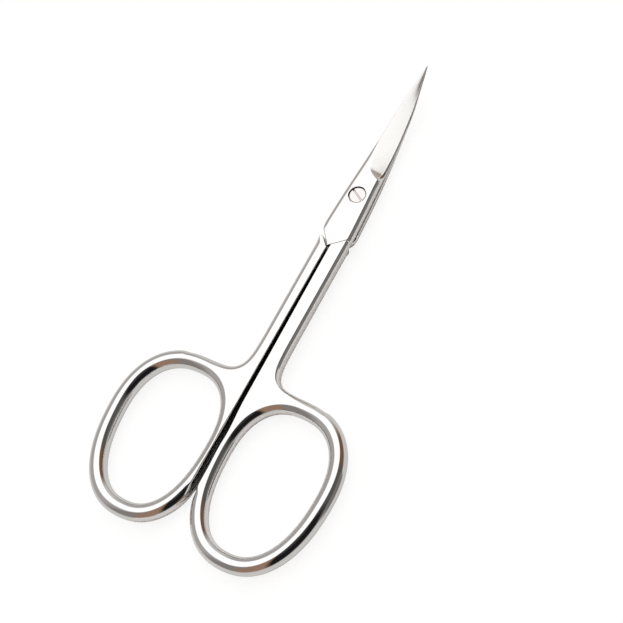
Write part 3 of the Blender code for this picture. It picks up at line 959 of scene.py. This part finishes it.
def makeFloor():
    made = bpy.data.meshes.new("floor")
    s = floor["size"]
    made.from_pydata([(-s, -s, 0), (s, -s, 0), (s, s, 0), (-s, s, 0)], [], [(0, 1, 2, 3)])
    holder = bpy.data.objects.new("floor", made)
    holder.location = (0, 0, cadBox[0][2] - floor["below"])
    bpy.context.scene.collection.objects.link(holder)
    material = bpy.data.materials.new("floorWhite")
    material.use_nodes = True
    tree = material.node_tree
    nodes = Nodes(tree)
    tree.nodes.remove(tree.nodes["Principled BSDF"])
    rays = nodes.add("LightPath")
    paint = nodes.out(nodes.add("BsdfDiffuse", Color=(*(floor["colour"],) * 3, 1)))
    glow = nodes.out(nodes.add("Emission", Color=(1, 1, 1, 1), Strength=floor["lift"]))
    mirrored = nodes.out(nodes.add("BsdfDiffuse", Color=(*(floor["mirrored"],) * 3, 1)))
    clear = nodes.out(nodes.add("BsdfTransparent"))

    def mixed(share, under, over):
        mix = nodes.add("MixShader", Fac=share)
        tree.links.new(under.socket, mix.inputs[1])
        tree.links.new(over.socket, mix.inputs[2])
        return nodes.out(mix)

    lit = nodes.add("AddShader")
    tree.links.new(paint.socket, lit.inputs[0])
    tree.links.new(glow.socket, lit.inputs[1])
    place = nodes.add("SeparateXYZ", Vector=nodes.out(nodes.add("TexCoord"), "Object"))
    across = nodes.out(place, "X").math("ABSOLUTE")
    # painted shade: dark only in narrow gaps between steel, where nearby steel closes the floor in, wherever
    # the pose puts them
    samples = {"samples": floor["shadeSamples"]}
    sky = nodes.out(nodes.add("AmbientOcclusion", samples, Distance=floor["shadeReach"]), "AO")
    paintedGapShade = nodes.out(nodes.add("BsdfDiffuse", Color=(*(floor["dark"],) * 3, 1)))
    under = mixed(across.math("GREATER_THAN", floor["mirroredReach"]), mirrored, clear)
    under = mixed(1 - nodes.step(sky, *floor["shaded"]), under, paintedGapShade)
    shown = mixed(nodes.out(rays, "Is Glossy Ray"), paint, under)
    shown = mixed(nodes.out(rays, "Is Camera Ray"), shown, nodes.out(lit))
    tree.links.new(shown.socket, tree.nodes["Material Output"].inputs["Surface"])
    made.materials.append(material)
    return holder


makeFloor()

# The room that the steel reflects, by compass direction and height in degrees: white overhead, grey and
# brown walls, a dark doorway on the camera's side, and a pale table below, with a painted shadow of the
# object darkening it straight underneath. The camera sees white.
room = {
    "overhead": 1.25,
    "table": (0.66, 0.65, 0.63),
    # the table nearly straight below, darker: a painted shadow of the object on it
    "underneath": (0.50, 0.49, 0.47),
    # the walls' plain colours, then each stretch of wall: from which direction to which, and its colour
    "grey": (0.42, 0.40, 0.39),
    "pale": (0.60, 0.58, 0.56),
    "brown": (0.32, 0.21, 0.15),
    "brownShade": (0.18, 0.10, 0.06),
    "shade": (0.10, 0.095, 0.09),
    "corner": (0.25, 0.23, 0.22),
    "doorway": (0.012, 0.012, 0.012),
    "walls": [
        (-180, -135, "grey"), (-120, -100, "corner"), (-88, -56, "brown"), (-47, 2, "doorway"),
        (10, 34, "shade"), (42, 70, "brownShade"), (92, 112, "pale"), (125, 180, "grey"),
    ],
    # direction, half width, softness (degrees), lowest and highest height (degrees), colour
    "panels": [
        (15, 14, 8, -24, 18, (0.19, 0.18, 0.17)),
        (-22, 20, 8, 54, 90, (0.05, 0.048, 0.05)),
    ],
    # heights over which the table turns darker below the object, as a painted shadow of it, and over which
    # the walls begin
    "tableNear": (-48, -84),
    "wallFoot": (-10, 5),
    # half the height over which a panel's lower and upper edge and the white overhead come in
    "panelFoot": 3,
    "panelTop": 4,
    "ceilingSoft": 6,
    # the height at which the white overhead begins: its mean, then each swing round the room as how far,
    # how many times and towards which direction
    "ceiling": 58,
    "swings": [(22, 1, -52), (7, 2, -3)],
}


def makeRoom():
    world = bpy.data.worlds.new("studio")
    bpy.context.scene.world = world
    world.use_nodes = True
    nodes = Nodes(world.node_tree)
    split = nodes.add("SeparateXYZ", Vector=nodes.out(nodes.add("TexCoord"), "Generated"))
    x, y, z = (nodes.out(split, axis) for axis in "XYZ")
    heading = y.math("ARCTAN2", x) * (180 / math.pi)
    height = z.math("ARCSINE") * (180 / math.pi)

    def mixed(share, under, over):
        mix = nodes.add("Mix", {"data_type": "RGBA"})
        for place, value in ((0, share), (6, under), (7, over)):
            if isinstance(value, Socket):
                world.node_tree.links.new(value.socket, mix.inputs[place])
            else:
                mix.inputs[place].default_value = (*value, 1)
        return nodes.out(mix, 2)

    around = heading * (1 / 360) + 0.5
    stops = [((end + 180) / 360, room[name]) for *ends, name in room["walls"] for end in ends]
    walls = nodes.out(nodes.add("ValToRGB", {"stops": stops}, Fac=around), "Color")
    # painted shadow: the table darkens towards straight below
    colour = mixed(nodes.step(height, *room["tableNear"]), room["table"], room["underneath"])
    colour = mixed(nodes.step(height, *room["wallFoot"]), colour, walls)
    for direction, reach, soft, low, high, tint in room["panels"]:
        away = (heading - direction + 540).math("MODULO", 360) - 180
        across = 1 - nodes.step(away.math("ABSOLUTE"), reach - soft / 2, reach + soft / 2)
        foot, top = room["panelFoot"], room["panelTop"]
        beyond = nodes.step(height, high - top, high + top)
        inHeight = nodes.step(height, low - foot, low + foot) * (1 - beyond)
        colour = mixed(across * inHeight, colour, tint)
    ceiling = room["ceiling"]
    for far, times, towards in room["swings"]:
        ceiling = ((heading - towards) * (times * math.pi / 180)).math("COSINE") * far + ceiling
    above = height - ceiling
    soft = room["ceilingSoft"]
    colour = mixed(nodes.step(above, -soft, soft), colour, (room["overhead"],) * 3)
    seen = nodes.out(nodes.add("LightPath"), "Is Camera Ray")
    colour = mixed(seen, colour, (1, 1, 1))
    world.node_tree.links.new(colour.socket, world.node_tree.nodes["Background"].inputs["Color"])


makeRoom()

camera = {
    # where it stands as seen from the object, in degrees; roll turns the picture clockwise
    "azimuth": -33.023,
    "elevation": 60.942,
    "roll": 31.174,
    "shift": (8.036, -19.033, 215.0),   # the pivot from the camera: right, down and away, in millimetres
    "focal": 1268.5,
    "width": 623,
}


def placeCamera():
    a, e, r = (math.radians(camera[name]) for name in ("azimuth", "elevation", "roll"))
    away = np.array([-math.cos(e) * math.cos(a), -math.cos(e) * math.sin(a), -math.sin(e)])
    level = np.array([-math.sin(a), math.cos(a), 0])
    down = np.cross(away, level)
    right = math.cos(r) * level + math.sin(r) * down
    # rows are the picture's right, down and away
    turn = np.array([right, np.cross(away, right), away])
    shift = np.array(camera["shift"])
    where = -turn.T @ shift * mm + pivot
    axes = Matrix((turn[0], -turn[1], -turn[2])).transposed()
    lens = bpy.data.cameras.new("view")
    lens.sensor_width = 36
    lens.lens = 36 * camera["focal"] / camera["width"]
    # the fit counts picture points from their corners, half a point from the renderer's middles
    lens.shift_x = -0.5 / camera["width"]
    lens.shift_y = 0.5 / camera["width"]
    lens.clip_start = 0.001
    holder = bpy.data.objects.new("view", lens)
    holder.matrix_world = Matrix.Translation(Vector(where)) @ axes.to_4x4()
    bpy.context.scene.collection.objects.link(holder)
    bpy.context.scene.camera = holder


placeCamera()
bpy.context.scene.view_settings.view_transform = "Standard"
print("stage set")
